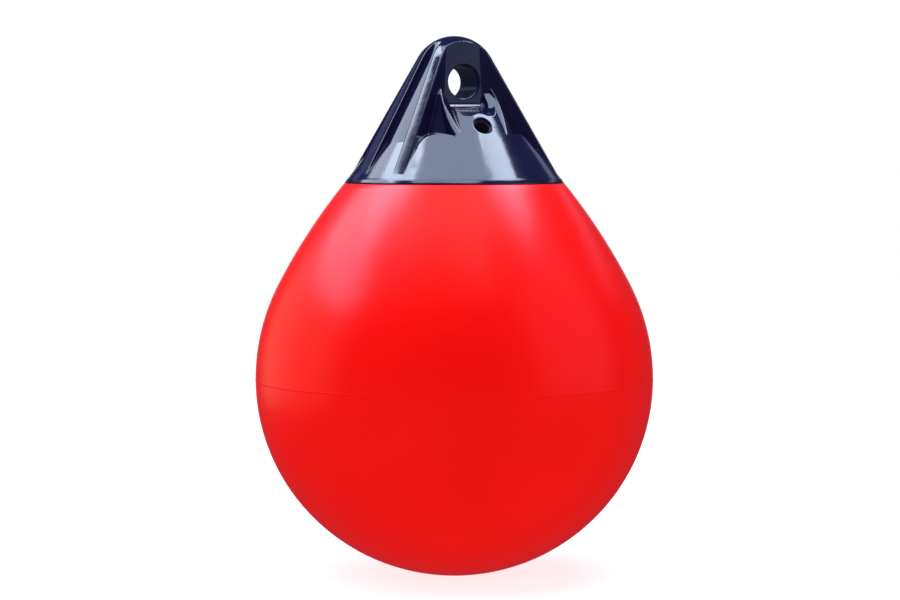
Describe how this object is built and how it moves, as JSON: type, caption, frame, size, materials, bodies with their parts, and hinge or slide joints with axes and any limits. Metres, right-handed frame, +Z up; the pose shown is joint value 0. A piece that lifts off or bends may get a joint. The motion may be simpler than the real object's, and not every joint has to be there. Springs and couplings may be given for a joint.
{
  "type": "inflatable round buoy",
  "caption": "Teardrop inflatable buoy: hollow red vinyl float with a moulding seam, a ribbed navy rope-eye head on its neck and a fluted screw in the air valve.",
  "frame": {"origin": "on the buoy's axis, at the waterline of the unloaded buoy", "axes": "+Z up along the buoy's axis to the rope eye, +Y along the bore of the rope eye with the valve on the -Y side"},
  "size_m": [0.3689, 0.369, 0.4986],
  "materials": {
    "float_vinyl": "satin-gloss rotomoulded soft vinyl",
    "head_vinyl": "gloss injection-moulded vinyl",
    "valve_plastic": "dark moulded nylon"
  },
  "bodies": {
    "root": {"float_body": "float_vinyl", "rope_head": "head_vinyl", "valve_screw": "valve_plastic"}
  },
  "joints": []
}
